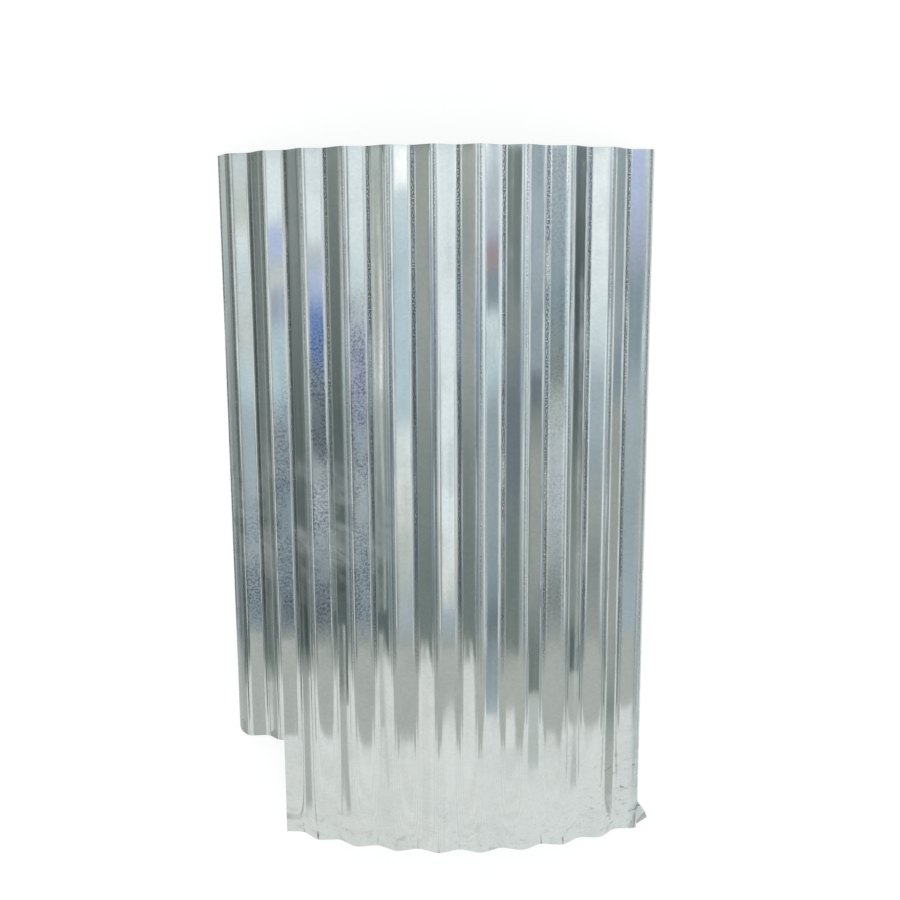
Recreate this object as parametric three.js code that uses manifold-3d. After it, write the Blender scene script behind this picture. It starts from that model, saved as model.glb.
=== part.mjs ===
// A corrugated metal sheet: galvanised steel roofing rolled into round waves and bowed across its
// width. One end is notched at a corner, and the other corner of that end is torn and bent out.
// It lies on a level floor on its two long edges, crown up, as one piece of stock.
// Millimetres. +X runs across the waves, +Y along them and +Z up. The origin is on the floor,
// under the middle of the sheet. The notch and the torn corner are at the -Y end.

import * as THREE from "three";
import { mergeVertices } from "three/addons/utils/BufferGeometryUtils.js";
import Module from "manifold-3d";

// The rolled sheet. Distances across it are measured along the bowed middle line of the waves.
const PITCH = 76.2; // crest to crest
const WAVE_DEPTH = 12.4; // valley to crest of the middle surface
const BEND_RADIUS = 22.5; // of each crest and valley, with a straight flank between them
const WAVES = 10.5; // from the valley at one long edge to the last crest beside the other
const CREST_LIP = 7.6; // the sheet past that last crest
const THICKNESS = 0.4; // steel with its zinc coating
const LENGTH = 1244; // along the waves
const BOW_RADIUS = 688; // to the middle line of the waves

// The notch, cut out of the corner beside the downturned edge. Its cross cut isn't quite square.
const NOTCH_WIDTH = 122; // across the waves
const NOTCH_LENGTH = 183; // along the waves, at its inner corner
const NOTCH_EDGE_LENGTH = 169; // along the waves, at the long edge

// The torn corner beside the upturned edge. A short tear runs in from the cut end. The ear outside
// it turns out along a crease, from the head of the tear to the long edge, and is folded once.
const TEAR_INSET = 5; // from the long edge to the tear, across the waves
const TEAR_LENGTH = 27; // from the cut end to the head of the tear
const CREASE_TOP = 50; // from the cut end to where the crease meets the long edge
const FOLD_TOP = { out: 13, along: 35, up: 9 }; // the outer end of the ear's fold
const FOLD_ROOT = { out: -1.5, along: 17 }; // the inner end of the ear's fold
const EAR_TIP = { out: 18.5, along: 21.5, up: 5 }; // the ear's farthest point
const EAR_HEEL = { out: -1.5, along: 7 }; // the ear's corner beside the tear

// How finely a wave is divided. An odd count puts one flat facet on top of each crest.
const BEND_SEGMENTS = 9;
const FLANK_SEGMENTS = 2;

const GALVANISED = { color: 0xb9c3c6, roughness: 0.3, metalness: 1 };

const wasm = await Module();
wasm.setup();

const width = WAVES * PITCH + CREST_LIP;
const halfWidth = width / 2;

// The flank's slope that joins a crest bend to a valley bend in half a pitch.
const halfPitch = PITCH / 2;
const bendFall = WAVE_DEPTH - 2 * BEND_RADIUS;
const flankAngle =
  Math.atan2(bendFall, halfPitch) +
  Math.asin((2 * BEND_RADIUS) / Math.hypot(halfPitch, bendFall));
const bendReach = BEND_RADIUS * Math.sin(flankAngle);

// The wave at a distance from the first valley: its height about the middle line, and its slope.
function waveAt(distance) {
  const halfWave = Math.round(distance / halfPitch);
  const side = halfWave % 2 === 0 ? -1 : 1; // -1 in a valley, 1 on a crest
  const offset = distance - halfWave * halfPitch;
  if (Math.abs(offset) < bendReach) {
    const turn = Math.asin(offset / BEND_RADIUS);
    const fall = BEND_RADIUS * (1 - Math.cos(turn));
    return { height: side * (WAVE_DEPTH / 2 - fall), slope: -side * turn };
  }
  const toMiddle = halfPitch / 2 - Math.abs(offset);
  return {
    height: side * toMiddle * Math.tan(flankAngle),
    slope: -side * Math.sign(offset) * flankAngle,
  };
}

// A point of the section, lift above the middle surface, at a distance across from the middle.
function sectionPoint(across, lift) {
  const { height, slope } = waveAt(across + halfWidth);
  const turn = across / BOW_RADIUS;
  const lean = Math.atan2(Math.tan(slope), 1 + height / BOW_RADIUS);
  return new THREE.Vector2(
    (BOW_RADIUS + height) * Math.sin(turn) + lift * Math.sin(turn - lean),
    (BOW_RADIUS + height) * Math.cos(turn) + lift * Math.cos(turn - lean) - BOW_RADIUS,
  );
}

// Where the section has its corners, across from the middle: evenly round each bend and along
// each flank, and at both long edges.
function sectionStations() {
  const stations = [];
  for (let halfWave = 0; (halfWave - 1) * halfPitch < width; halfWave += 1) {
    const middle = halfWave * halfPitch;
    for (let i = 0; i <= BEND_SEGMENTS; i += 1) {
      const turn = flankAngle * ((2 * i) / BEND_SEGMENTS - 1);
      stations.push(middle + BEND_RADIUS * Math.sin(turn));
    }
    for (let i = 1; i < FLANK_SEGMENTS; i += 1) {
      stations.push(middle + bendReach + (halfPitch - 2 * bendReach) * (i / FLANK_SEGMENTS));
    }
  }
  const inside = stations.filter((at) => at > THICKNESS && at < width - THICKNESS);
  return [0, ...inside, width].map((at) => at - halfWidth);
}

// The wavy, bowed section, drawn as one closed outline: along underneath and back over the top.
function sheetSection() {
  const stations = sectionStations();
  const top = stations.map((across) => sectionPoint(across, THICKNESS / 2));
  const under = stations.map((across) => sectionPoint(across, -THICKNESS / 2));
  return new THREE.Shape([...under, ...top.reverse()]);
}

// Turns a closed geometry into a solid that can be cut and joined.
function solidOf(geometry) {
  geometry.deleteAttribute("normal");
  geometry.deleteAttribute("uv");
  const merged = mergeVertices(geometry, 1e-5);
  return new wasm.Manifold(
    new wasm.Mesh({
      numProp: 3,
      vertProperties: merged.attributes.position.array,
      triVerts: new Uint32Array(merged.index.array),
    }),
  );
}

// The whole sheet before it was notched and torn: its section run along the waves.
function wholeSheet() {
  const geometry = new THREE.ExtrudeGeometry(sheetSection(), {
    depth: LENGTH,
    steps: 1,
    bevelEnabled: false,
  });
  geometry.rotateX(Math.PI / 2);
  geometry.translate(0, LENGTH, 0);
  return solidOf(geometry);
}

// The block that the notch removes. Its inner face stands square to the bowed sheet.
function notchBlock() {
  const turn = (NOTCH_WIDTH - halfWidth) / BOW_RADIUS;
  const outline = new THREE.Shape([
    new THREE.Vector2(0, NOTCH_LENGTH),
    new THREE.Vector2(-2 * NOTCH_WIDTH, 2 * NOTCH_EDGE_LENGTH - NOTCH_LENGTH),
    new THREE.Vector2(-2 * NOTCH_WIDTH, -NOTCH_LENGTH),
    new THREE.Vector2(0, -NOTCH_LENGTH),
  ]);
  const depth = 2 * NOTCH_WIDTH;
  const geometry = new THREE.ExtrudeGeometry(outline, { depth, bevelEnabled: false });
  geometry.translate(0, 0, BOW_RADIUS - depth / 2);
  geometry.rotateY(turn);
  geometry.translate(0, 0, -BOW_RADIUS);
  return solidOf(geometry);
}

// A point of the middle surface at the torn corner, inset from the long edge.
function cornerPoint(inset, along) {
  const point = sectionPoint(halfWidth - inset, 0);
  return new THREE.Vector3(point.x, along, point.y);
}

// A free point of the ear, out from the long edge and up from the floor under it.
function earPoint({ out, along, up }) {
  const edge = sectionPoint(halfWidth, -THICKNESS / 2);
  return new THREE.Vector3(edge.x + out, along, edge.y + up);
}

// The free point of the ear that lies in the plane through three others.
function earPointInPlane(place, a, b, c) {
  const plane = new THREE.Plane().setFromCoplanarPoints(a, b, c);
  const point = earPoint({ ...place, up: 0 });
  const upright = new THREE.Line3(
    point.clone().setZ(-2 * BOW_RADIUS),
    point.clone().setZ(BOW_RADIUS),
  );
  return plane.intersectLine(upright, new THREE.Vector3());
}

// The block that removes what the ear was torn from: outside the tear and outside the crease.
function tornBlock(tearHead, creaseTop) {
  const overrun = CREASE_TOP;
  const outline = new THREE.Shape([
    new THREE.Vector2(tearHead.x, -overrun),
    new THREE.Vector2(creaseTop.x + overrun, -overrun),
    new THREE.Vector2(creaseTop.x + overrun, creaseTop.y),
    new THREE.Vector2(creaseTop.x, creaseTop.y),
    new THREE.Vector2(tearHead.x, tearHead.y),
  ]);
  const geometry = new THREE.ExtrudeGeometry(outline, { depth: BOW_RADIUS, bevelEnabled: false });
  geometry.translate(0, 0, -BOW_RADIUS);
  return solidOf(geometry);
}

// A flat leaf of the ear, as thick as the sheet. Its rooted side is the one between its first and
// last corners, and it runs on past that side by half a thickness, into the metal that carries it.
function leaf(corners) {
  const [first, second] = corners;
  const last = corners[corners.length - 1];
  const along = last.clone().sub(first).normalize();
  const normal = along.clone().cross(second.clone().sub(first)).normalize();
  const inward = normal.clone().cross(along);
  const flat = corners.map((corner) => {
    const arm = corner.clone().sub(first);
    return new THREE.Vector2(arm.dot(along), arm.dot(inward));
  });
  flat[0].y -= THICKNESS / 2;
  flat[flat.length - 1].y -= THICKNESS / 2;
  const geometry = new THREE.ExtrudeGeometry(new THREE.Shape(flat), {
    depth: THICKNESS,
    bevelEnabled: false,
  });
  geometry.translate(0, 0, -THICKNESS / 2);
  geometry.applyMatrix4(new THREE.Matrix4().makeBasis(along, inward, normal).setPosition(first));
  return solidOf(geometry);
}

// The sheet as it is: notched, torn, and with the ear joined on along its crease.
function sheetSolid() {
  const creaseTop = cornerPoint(0, CREASE_TOP);
  const tearHead = cornerPoint(TEAR_INSET, TEAR_LENGTH);
  const foldTop = earPoint(FOLD_TOP);
  const foldRoot = earPointInPlane(FOLD_ROOT, creaseTop, tearHead, foldTop);
  const tip = earPoint(EAR_TIP);
  const heel = earPointInPlane(EAR_HEEL, foldTop, foldRoot, tip);
  return wholeSheet()
    .subtract(notchBlock())
    .subtract(tornBlock(tearHead, creaseTop))
    .add(leaf([tearHead, foldRoot, foldTop, creaseTop]))
    .add(leaf([foldRoot, heel, tip, foldTop]));
}

// The joined solid as a geometry, turned to rest on both long edges and centred over the origin.
function restingGeometry(solid) {
  const { vertProperties, triVerts } = solid.getMesh();
  const geometry = new THREE.BufferGeometry();
  geometry.setAttribute("position", new THREE.BufferAttribute(vertProperties, 3));
  geometry.setIndex(new THREE.BufferAttribute(triVerts, 1));
  const down = sectionPoint(-halfWidth, -THICKNESS / 2);
  const up = sectionPoint(halfWidth, -THICKNESS / 2);
  geometry.rotateY(Math.atan2(up.y - down.y, up.x - down.x));
  geometry.computeBoundingBox();
  const { min, max } = geometry.boundingBox;
  geometry.translate(-(min.x + max.x) / 2, -(min.y + max.y) / 2, -min.z);
  geometry.computeVertexNormals();
  return geometry;
}

const sheet = new THREE.Mesh(
  restingGeometry(sheetSolid()),
  new THREE.MeshStandardMaterial(GALVANISED),
);
sheet.name = "corrugated_sheet";

const part = new THREE.Group();
part.add(sheet);

export default part;
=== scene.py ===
# %% [markdown]
# # A corrugated metal sheet
#
# One sheet of galvanised steel, rolled into round waves and then bowed across its width. It lies on
# the floor on its two long edges. A notch has been cut from one corner and another corner is torn.
#
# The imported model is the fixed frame: it says where the sheet lies and how big it is. This script
# makes the same sheet again with a fine mesh, and spends its effort on what zinc looks like.

# %% Load the frame and measure it
import math

import bpy
import numpy as np
from mathutils import Matrix, Vector


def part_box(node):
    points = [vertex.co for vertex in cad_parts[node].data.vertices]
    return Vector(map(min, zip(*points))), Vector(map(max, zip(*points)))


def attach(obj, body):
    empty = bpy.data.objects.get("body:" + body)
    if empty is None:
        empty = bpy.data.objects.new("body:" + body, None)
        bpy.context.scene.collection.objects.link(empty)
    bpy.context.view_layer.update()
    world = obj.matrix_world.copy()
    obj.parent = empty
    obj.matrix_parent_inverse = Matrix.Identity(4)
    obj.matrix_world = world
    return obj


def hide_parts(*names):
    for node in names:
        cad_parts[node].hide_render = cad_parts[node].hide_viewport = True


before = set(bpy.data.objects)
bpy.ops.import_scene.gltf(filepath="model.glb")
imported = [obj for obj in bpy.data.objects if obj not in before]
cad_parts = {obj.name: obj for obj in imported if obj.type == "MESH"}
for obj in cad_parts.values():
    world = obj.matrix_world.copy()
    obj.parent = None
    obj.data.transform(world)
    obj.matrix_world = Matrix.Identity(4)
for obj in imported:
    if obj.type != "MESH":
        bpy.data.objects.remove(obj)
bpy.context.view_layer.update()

sheet_low, sheet_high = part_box("corrugated_sheet")
print("frame box", [round(v, 4) for v in sheet_low], [round(v, 4) for v in sheet_high])

# %% [markdown]
# ## The section
#
# A roll former presses flat steel into crests and valleys. Each is a round bend, and between a
# crest and a valley the metal stays straight. A sine wave would be quicker to write, but a sine
# has no straight part. Bright metal shows that at once, because a straight flank mirrors one
# thing and a bend mirrors the whole room. So the section is built from arcs and straight lines,
# and every point is found by its distance across the sheet, as if the sheet were unrolled.

# %% The rolled section, in metres
PITCH = 0.0762
WAVE_DEPTH = 0.0124
BEND_RADIUS = 0.0225
WAVES = 10.5
CREST_LIP = 0.0076
THICKNESS = 0.0004
LENGTH = 1.244
BOW_RADIUS = 0.688

WIDTH = WAVES * PITCH + CREST_LIP
HALF_WIDTH = WIDTH / 2
HALF_PITCH = PITCH / 2
bend_fall = WAVE_DEPTH - 2 * BEND_RADIUS
bend_span = math.hypot(HALF_PITCH, bend_fall)
FLANK_ANGLE = math.atan2(bend_fall, HALF_PITCH) + math.asin(2 * BEND_RADIUS / bend_span)
BEND_REACH = BEND_RADIUS * math.sin(FLANK_ANGLE)


def wave(distance):
    """Height and slope of the wave at distances from the first valley, which is a long edge."""
    half_wave = np.round(distance / HALF_PITCH)
    side = np.where(half_wave % 2 == 0, -1.0, 1.0)
    offset = distance - half_wave * HALF_PITCH
    turn = np.arcsin(np.clip(offset / BEND_RADIUS, -1, 1))
    on_bend = np.abs(offset) < BEND_REACH
    bend_height = WAVE_DEPTH / 2 - BEND_RADIUS * (1 - np.cos(turn))
    flank_height = (HALF_PITCH / 2 - np.abs(offset)) * math.tan(FLANK_ANGLE)
    height = side * np.where(on_bend, bend_height, flank_height)
    slope = -side * np.where(on_bend, turn, np.sign(offset) * FLANK_ANGLE)
    return height, slope


def bowed(distance, lift=0.0):
    """Across and up of the bowed sheet, lift above its middle surface, and its normal's angle."""
    height, slope = wave(distance)
    turn = (distance - HALF_WIDTH) / BOW_RADIUS
    lean = turn - np.arctan2(np.tan(slope), 1 + height / BOW_RADIUS)
    across = (BOW_RADIUS + height) * np.sin(turn) + lift * np.sin(lean)
    up = (BOW_RADIUS + height) * np.cos(turn) + lift * np.cos(lean) - BOW_RADIUS
    return across, up, lean


print(f"sheet {WIDTH:.4f} wide round its bow, flanks lean {math.degrees(FLANK_ANGLE):.1f} degrees")

# %% [markdown]
# ## Laying the section down
#
# The section above has the bow's crown at its top middle. The sheet lies on both long edges, and
# they are at different heights, so it tips a little. The tip comes from the two edges, and the
# place comes from the frame's box.

# %% From the section to the floor
HAIR = 0.00003  # what the fine mesh keeps clear of the frame's box
SECTION_POINTS = 4001
ALL_ACROSS = np.linspace(0, WIDTH, SECTION_POINTS)
edge_x, edge_z, _ = bowed(np.array([0.0, WIDTH]), -THICKNESS / 2)
TIP = math.atan2(edge_z[1] - edge_z[0], edge_x[1] - edge_x[0])


def tipped(across, up):
    """Turns a point of the section to lie on both long edges."""
    return across * math.cos(TIP) + up * math.sin(TIP), up * math.cos(TIP) - across * math.sin(TIP)


top_x, top_z = tipped(*bowed(ALL_ACROSS, THICKNESS / 2)[:2])
under_x, under_z = tipped(*bowed(ALL_ACROSS, -THICKNESS / 2)[:2])
SHIFT_X = sheet_low.x - min(top_x.min(), under_x.min())
SHIFT_Z = sheet_high.z - top_z.max() - HAIR
CROWN = ALL_ACROSS[int(np.argmax(top_z))]


def on_sheet(distance, lift=0.0):
    """Row x and z of the laid sheet at distances across it, and its normal's angle from up."""
    across, up, lean = bowed(distance, lift)
    x, z = tipped(across, up)
    return x + SHIFT_X, z + SHIFT_Z, lean + TIP


def laid_point(across, along, up):
    """A point given in the section's own frame, as a Vector on the floor."""
    x, z = tipped(across, up)
    return Vector((x + SHIFT_X, along - LENGTH / 2, z + SHIFT_Z))


print(f"the sheet tips {math.degrees(TIP):.2f} degrees, shifted {SHIFT_X:.4f}, {SHIFT_Z:.4f}")

# %% [markdown]
# ## The camera
#
# It looks down on the lying sheet, a little from the notched end's side, so the far end is up.

# %% Camera
CAMERA_PLACE = Vector((0.16723, 0.40276, 1.84294))
CAMERA_AIM = Vector((-0.07918193, -0.16202774, -0.98360421))
CAMERA_UP = Vector((-0.00847412, 0.98677603, -0.16186804))
LENS = 41.27
SENSOR = 36.0
FARTHEST = 20.0


def in_scene(name, data):
    """An object made from data and put in the scene."""
    made = bpy.data.objects.new(name, data)
    bpy.context.collection.objects.link(made)
    return made


camera = in_scene("camera", bpy.data.cameras.new("camera"))
bpy.context.scene.camera = camera
right = CAMERA_AIM.cross(CAMERA_UP).normalized()
facing = Matrix((right, CAMERA_UP.normalized(), -CAMERA_AIM.normalized())).transposed()
camera.matrix_world = Matrix.Translation(CAMERA_PLACE) @ facing.to_4x4()
camera.data.lens = LENS
camera.data.sensor_width = SENSOR
camera.data.clip_end = FARTHEST
print("camera", [round(v, 3) for v in camera.location])

# %% [markdown]
# ## The sheet as a grid
#
# The sheet is one grid of quads laid over its middle surface, and a Solidify modifier gives it
# its real thickness. Cutting a fine mesh with a boolean would also work, but it leaves long thin
# triangles at the cut, and bright metal shows them. Here the grid's own lines run along the
# notch and the tear, so the cuts are clean rows of quads. Columns sit closer on the bends.

# %% Grid lines across and along
BEND_STEPS = 8
FLANK_STEPS = 3
NARROWEST = 0.0004
ROW_STEP = 0.0082
NOTCH_WIDTH = 0.122
NOTCH_LENGTH = 0.183
NOTCH_EDGE_LENGTH = 0.169
NOTCH_CORNER = 0.009
TEAR_INSET = 0.005
TEAR_LENGTH = 0.027
TEAR_ROWS = 4
CREASE_TOP = 0.050
EAR_COLUMNS = 4


def stations():
    """Distances across the sheet of the grid's columns."""
    found = [HAIR, WIDTH - HAIR, NOTCH_WIDTH]
    for half_wave in range(int(WIDTH / HALF_PITCH) + 2):
        middle = half_wave * HALF_PITCH
        turns = FLANK_ANGLE * np.linspace(-1, 1, BEND_STEPS + 1)
        found += list(middle + BEND_RADIUS * np.sin(turns))
        flank = np.linspace(BEND_REACH, HALF_PITCH - BEND_REACH, FLANK_STEPS + 1)
        found += list(middle + flank[1:-1])
    tear = WIDTH - TEAR_INSET
    found = [s for s in found if HAIR <= s < tear - 2 * NARROWEST]
    found += list(np.linspace(tear, WIDTH - HAIR, EAR_COLUMNS + 1))
    kept = []
    for s in sorted(found):
        if not kept or s - kept[-1] > NARROWEST:
            kept.append(s)
    kept[int(np.argmin(np.abs(np.array(kept) - NOTCH_WIDTH)))] = NOTCH_WIDTH
    return np.array(kept)


across = stations()
notch_column = int(np.argmin(np.abs(across - NOTCH_WIDTH)))
tear_column = len(across) - 1 - EAR_COLUMNS


def notch_line(distance):
    """How far along the sheet the notch's cross cut is, with its outer corner rounded."""
    share = np.clip(distance / NOTCH_WIDTH, 0, 1)
    line = NOTCH_EDGE_LENGTH + (NOTCH_LENGTH - NOTCH_EDGE_LENGTH) * share
    gap = np.clip(NOTCH_CORNER - distance, 0, NOTCH_CORNER)
    return line + NOTCH_CORNER - np.sqrt(NOTCH_CORNER**2 - gap**2)


def crease_line(distance):
    """How far along the sheet the ear's crease is: at the tear's head, rising to the long edge."""
    share = np.clip((distance - (WIDTH - TEAR_INSET)) / TEAR_INSET, 0, 1)
    return TEAR_LENGTH + (CREASE_TOP - TEAR_LENGTH) * share


def rows_between(start, stop):
    """Even rows after start, up to and with stop, about a row step apart."""
    return np.linspace(start, stop, int((stop - start) / ROW_STEP) + 1)[1:]


low_rows = np.linspace(HAIR, TEAR_LENGTH, TEAR_ROWS + 1)
mid_rows = rows_between(TEAR_LENGTH, NOTCH_LENGTH)
high_rows = rows_between(NOTCH_LENGTH, LENGTH - HAIR)
tear_row = len(low_rows) - 1
notch_row = len(low_rows) + len(mid_rows) - 1
rows = np.concatenate([low_rows, mid_rows, high_rows])
print(f"{len(across)} columns, {len(rows)} rows; notch at column {notch_column}, row {notch_row}")

# %% [markdown]
# ## How the sheet departs from perfect
#
# A thin sheet is never quite true. It was rolled, stacked, dragged and cut, so its flanks bow
# in and out by tenths of a millimetre. The eye can't see that in its outline, but it sees it in
# the reflections, which wander along each flank. Sums of a few slow sine waves do this, and they
# give the same sheet every time. The corner beside the torn ear lifts as well.

# %% Gentle dents and the lifted corner
DENT_COUNT = 14
DENTS_ALONG = (0.9, 3.2)
DENTS_ACROSS = (4, 16)
DENT_HEIGHT = 0.00004
DENT_MARGIN = 0.02
CORNER_LIFT = 0.004
CORNER_REACH = 0.030
CORNER_LENGTH = 0.085
CROWN_REACH = 0.03

dents = np.random.default_rng(7)
DENT_WAVES = []
for _ in range(DENT_COUNT):
    turns = (dents.uniform(*DENTS_ALONG), dents.uniform(*DENTS_ACROSS))
    DENT_WAVES.append((*turns, dents.uniform(0, math.tau), dents.uniform(0, math.tau)))


def dent(distance, along):
    """How far the sheet stands off its true surface."""
    off = np.zeros(np.broadcast(distance, along).shape)
    for along_turns, across_turns, phase_a, phase_b in DENT_WAVES:
        slow = np.sin(math.tau * along_turns * along + phase_a)
        off += DENT_HEIGHT * slow * np.sin(across_turns * math.tau * distance + phase_b)
    corner = np.clip(1 - (WIDTH - distance) / CORNER_REACH, 0, 1) ** 2
    corner = corner * np.clip(1 - along / CORNER_LENGTH, 0, 1) ** 2
    ends = np.clip(np.minimum(distance, WIDTH - distance) / DENT_MARGIN, 0, 1)
    crown = np.clip(np.abs(distance - CROWN) / CROWN_REACH, 0, 1) ** 2
    return off * ends * crown + CORNER_LIFT * corner


def middle_surface(distance, along):
    """Points of the dented middle surface, as an array of x, y, z."""
    x, z, lean = on_sheet(distance)
    off = dent(distance, along)
    return np.stack([x + off * np.sin(lean), along - LENGTH / 2, z + off * np.cos(lean)], axis=-1)


print(f"dents stand off by up to {np.abs(dent(ALL_ACROSS, LENGTH / 2)).max() * 1000:.2f} mm at mid length")

# %% [markdown]
# ## The torn ear
#
# The corner beside the last crest was torn and bent. Its flap hangs from a slanting crease and
# is folded once more. It is two small patches that share the crease's own points with the sheet,
# so the metal runs on through the bend as it does on the real one.

# %% Points of the ear
EAR_ROWS = 5
EAR_ROW_STEP = 0.004  # between its rows in the unrolled map
edge_across, edge_up, _ = bowed(np.array([WIDTH]), -THICKNESS / 2)


def ear_point(out, along, up):
    """A free point of the ear, out from the long edge and up from the height of that edge."""
    return laid_point(edge_across[0] + out, along, edge_up[0] + up)


FOLD_TOP = ear_point(0.013, 0.035, 0.009)
FOLD_ROOT = ear_point(-0.0015, 0.017, 0.0072)
EAR_TIP = ear_point(0.0184, 0.0215, 0.005)
EAR_HEEL = ear_point(-0.0015, 0.007, 0.0048)


def ear_rows(crease):
    """Rows of points from the crease down over the fold to the ear's free edge."""
    share = np.linspace(0, 1, len(crease))[:, None]
    fold = np.array(FOLD_ROOT) * (1 - share) + np.array(FOLD_TOP) * share
    free = np.array(EAR_HEEL) * (1 - share) + np.array(EAR_TIP) * share
    steps = np.linspace(0, 1, EAR_ROWS + 1)[1:]
    hanging = [crease * (1 - step) + fold * step for step in steps]
    return hanging + [fold * (1 - step) + free * step for step in steps]


print("the ear's tip is at", [round(v, 4) for v in EAR_TIP])

# %% [markdown]
# Now the rows are laid. Those past the notch start at its cut and spread evenly to the far end,
# and those past the tear do the same from the crease. A face is made wherever all four of its
# corners are, which leaves the notch and the slit open by itself. The unrolled place of every
# point goes into a UV map, so stains and bends are later drawn on the flat strip.

# %% Build the grid, leave out the notch and join the ear
def row_places(r, along):
    """How far along the sheet a row's points lie. Rows bend to meet the notch and the crease."""
    columns = np.arange(len(across))
    cut = notch_line(across)
    above = cut + (along - NOTCH_LENGTH) * (LENGTH - cut) / (LENGTH - NOTCH_LENGTH)
    crease = crease_line(across)
    grown = crease + (along - TEAR_LENGTH) * (LENGTH - crease) / (LENGTH - TEAR_LENGTH)
    places = np.full(len(across), along)
    places = np.where((columns <= notch_column) & (along > NOTCH_LENGTH), above, places)
    places = np.where((columns <= notch_column) & (r == notch_row), cut, places)
    return np.where((columns >= tear_column) & (r >= tear_row), grown, places)


def build_sheet():
    """The middle surface as a mesh, with its unrolled place kept as a UV map in metres."""
    points, unrolled, faces, index = [], [], [], {}
    for r, along in enumerate(rows):
        places = row_places(r, along)
        surface = middle_surface(across, places)
        for c, place in enumerate(places):
            in_notch = c < notch_column and r < notch_row
            past_tear = c > tear_column and r < tear_row
            if not in_notch and not past_tear:
                index[r, c] = len(points)
                points.append(surface[c])
                unrolled.append((across[c], place))
    for r, c in index:
        corners = [(r, c), (r, c + 1), (r + 1, c + 1), (r + 1, c)]
        if all(corner in index for corner in corners):
            faces.append([index[corner] for corner in corners])
    upper = [index[tear_row, c] for c in range(tear_column, len(across))]
    crease_places = crease_line(across[tear_column:])
    for step, row in enumerate(ear_rows(np.array([points[i] for i in upper]))):
        lower = list(range(len(points), len(points) + len(row)))
        points.extend(row)
        unrolled.extend(zip(across[tear_column:], crease_places - EAR_ROW_STEP * (step + 1)))
        for c in range(len(lower) - 1):
            faces.append([lower[c], lower[c + 1], upper[c + 1], upper[c]])
        upper = lower
    mesh = bpy.data.meshes.new("corrugated_sheet_surface")
    mesh.from_pydata([tuple(p) for p in points], [], faces)
    layer = mesh.uv_layers.new(name="unrolled")
    for loop in mesh.loops:
        layer.data[loop.index].uv = unrolled[loop.vertex_index]
    mesh.validate()
    return mesh


sheet = in_scene("rolled_sheet", build_sheet())
print(len(sheet.data.vertices), "points,", len(sheet.data.polygons), "quads on the middle surface")

# %% [markdown]
# A modifier makes the metal's two faces and its cut edge from that one surface. It also gives
# each its own material slot: the top keeps the first, the underside and the edge get the others.

# %% Give it thickness
UNDERSIDE_SLOT = 1
EDGE_SLOT = 2

solid = sheet.modifiers.new("thickness", "SOLIDIFY")
solid.thickness = THICKNESS
solid.offset = 0.0
solid.use_even_offset = False
solid.material_offset = UNDERSIDE_SLOT
solid.material_offset_rim = EDGE_SLOT
print(f"the sheet is {solid.thickness * 1000:.1f} mm thick")

# %% [markdown]
# ## Zinc
#
# The colour of zinc is almost nothing: a pale, slightly cool grey. What makes it zinc is how it
# mirrors, and how its skin varies: crystals, damp stains, wipes, and dark specks where the rolls
# bent it. Each of these is a node group, because the top, the underside and the cut edge all use
# them with different strengths. First come small helpers, so each group reads as a recipe.

# %% Node helpers
Socket = bpy.types.NodeSocket


def fill(slots, values):
    """Gives each input slot a socket to follow or a value of its own."""
    for slot, value in zip(slots, values):
        if isinstance(value, Socket):
            slot.id_data.links.new(value, slot)
        else:
            slot.default_value = value


def node(tree, kind, *inputs, **values):
    """A node with its first inputs filled in order, and its settings and other inputs by name."""
    made = tree.nodes.new(kind)
    fill(made.inputs, inputs)
    for name, value in values.items():
        if name in made.bl_rna.properties:
            setattr(made, name, value)
        else:
            fill([made.inputs[name.replace("_", " ")]], [value])
    return made


def new_group(name, outputs, **numbers):
    """An empty shader node group that takes a place on the sheet: its inputs and its end node."""
    tree = bpy.data.node_groups.new(name, "ShaderNodeTree")
    tree.interface.new_socket(name="Place", in_out="INPUT", socket_type="NodeSocketVector")
    for label, value in numbers.items():
        label = label.replace("_", " ")
        made = tree.interface.new_socket(name=label, in_out="INPUT", socket_type="NodeSocketFloat")
        made.default_value = value
    for label in outputs:
        tree.interface.new_socket(name=label, in_out="OUTPUT", socket_type="NodeSocketFloat")
    return tree.nodes.new("NodeGroupInput").outputs, tree.nodes.new("NodeGroupOutput")


def hand_out(end, **masks):
    """Links masks to a group's outputs of the same names, and returns the group."""
    for name, mask in masks.items():
        fill([end.inputs[name]], [mask])
    return end.id_data


def across_along(place):
    """The distances across and along the sheet of a place on it."""
    where = node(place.id_data, "ShaderNodeSeparateXYZ", place)
    return where.outputs["X"], where.outputs["Y"]


def maths(operation, *values, clamp=False):
    """A Math node's output. Its inputs are sockets or numbers, with at least one socket."""
    tree = next(value for value in values if isinstance(value, Socket)).id_data
    return node(tree, "ShaderNodeMath", *values, operation=operation, use_clamp=clamp).outputs[0]


def product(*masks):
    """Several masks multiplied together."""
    total = masks[0]
    for mask in masks[1:]:
        total = maths("MULTIPLY", total, mask)
    return total


def ramp(value, low, high):
    """A smooth step from 0 at low to 1 at high."""
    made = node(value.id_data, "ShaderNodeMapRange", value, low, high, interpolation_type="SMOOTHSTEP")
    return made.outputs["Result"]


def distance_to(x, first, step):
    """Distance from x to the nearest of evenly spaced lines."""
    lines = maths("DIVIDE", maths("SUBTRACT", x, first), step)
    off = maths("SUBTRACT", lines, maths("ROUND", lines))
    return maths("MULTIPLY", maths("ABSOLUTE", off), step)


def noise(place, across, along, octaves=2.0, roughness=0.5):
    """Noise with its own fineness across and along the sheet, in blotches per metre."""
    tree = place.id_data
    fine = (across, along, 1.0)
    stretched = node(tree, "ShaderNodeVectorMath", place, fine, operation="MULTIPLY").outputs[0]
    made = node(tree, "ShaderNodeTexNoise", Vector=stretched, Scale=1.0, Detail=octaves)
    fill([made.inputs["Roughness"]], [roughness])
    return made.outputs[0]


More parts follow.
